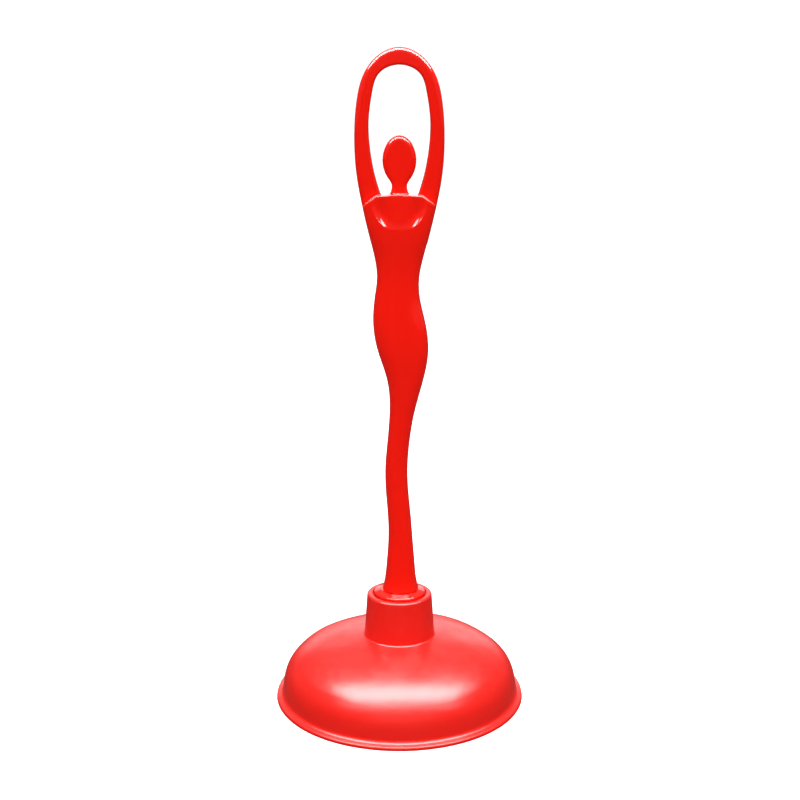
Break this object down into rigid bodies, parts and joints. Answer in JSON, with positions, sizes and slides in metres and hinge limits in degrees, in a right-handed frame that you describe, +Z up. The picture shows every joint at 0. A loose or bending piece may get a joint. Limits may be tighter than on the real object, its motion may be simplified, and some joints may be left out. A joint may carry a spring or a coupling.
{
  "type": "toilet plunger",
  "caption": "Toilet plunger with a soft flanged dome cup and a screw-in hollow handle shaped as a slim standing figure whose raised arms form a hanging loop.",
  "frame": {"origin": "on the floor, at the centre of the cup's mouth", "axes": "+Z up the handle, -Y to the figure's front, +X to the right as the front is seen"},
  "size_m": [0.14, 0.14, 0.3572],
  "materials": {
    "cup_soft_pvc": "satin moulded soft PVC",
    "bush_nylon": "natural moulded nylon",
    "ring_abs": "polished moulded ABS",
    "foot_abs": "moulded ABS",
    "handle_abs": "polished moulded ABS"
  },
  "bodies": {
    "cup": {"suction_cup": "cup_soft_pvc"},
    "neck_bush": {"threaded_bush": "bush_nylon"},
    "thrust_ring": {"thrust_ring": "ring_abs"},
    "handle": {"threaded_foot": "foot_abs", "handle_front_shell": "handle_abs", "handle_back_shell": "handle_abs"}
  },
  "joints": [
    {"name": "cup_squeeze", "type": "slide", "parent": "cup", "child": "neck_bush", "axis": [0, 0, 1], "range_m": [-0.018, 0], "stiffness_N_per_m": 3500, "deforming": ["suction_cup"]},
    {"name": "thread_rise", "type": "slide", "parent": "neck_bush", "child": "thrust_ring", "axis": [0, 0, 1], "range_m": [0, 0.014]},
    {"name": "handle_turn", "type": "hinge", "parent": "thrust_ring", "child": "handle", "pos_m": [0, 0, 0.0633], "axis": [0, 0, 1], "range_deg": [0, 1262]}
  ],
  "couplings": [
    {"joint": "handle_turn", "follows": "thread_rise", "rad_per_m": 1570.8}
  ]
}
